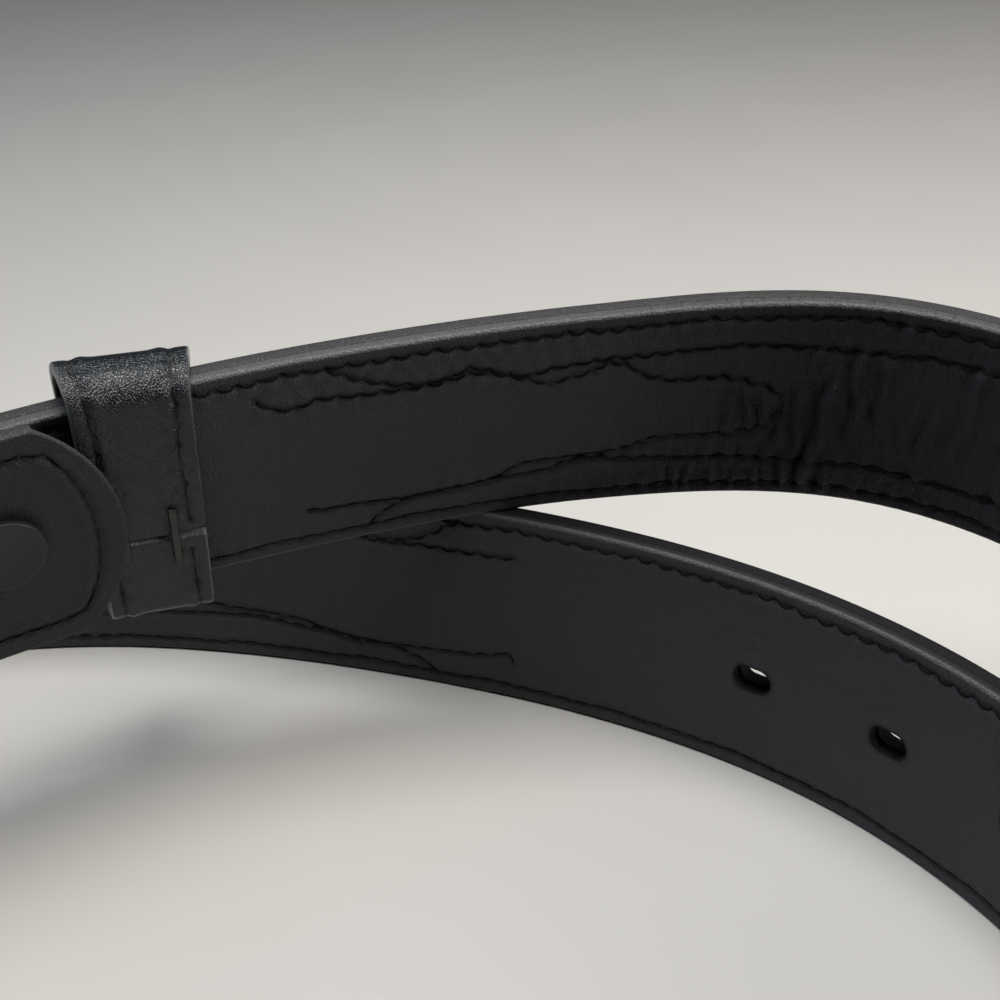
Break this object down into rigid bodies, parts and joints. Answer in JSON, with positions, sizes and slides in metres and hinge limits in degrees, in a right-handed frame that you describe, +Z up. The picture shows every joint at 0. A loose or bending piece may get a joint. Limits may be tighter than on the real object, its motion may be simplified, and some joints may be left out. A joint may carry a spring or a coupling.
{
  "type": "leather belt",
  "caption": "Black two-ply leather belt coiled loosely on its edge, with keeper loop, snap tab, punched holes, rounded tip and a plain frame buckle.",
  "frame": {"origin": "on the surface the belt stands on, under the middle of its box", "axes": "+Z up from the surface, +X along the longer way across the coil, +Y away from the picture's camera"},
  "size_m": [0.2936, 0.2248, 0.0795],
  "materials": {
    "outer_leather": "satin black",
    "lining_leather": "matt black",
    "keeper_leather": "satin black",
    "staple_steel": "dull grey",
    "snap_enamel": "semi-gloss black",
    "buckle_steel": "satin"
  },
  "bodies": {
    "root": {"strap": "outer_leather", "lining": "lining_leather", "keeper": "keeper_leather", "staple_right": "staple_steel", "staple_left": "staple_steel", "snap_cap": "snap_enamel", "buckle": "buckle_steel"}
  },
  "joints": []
}
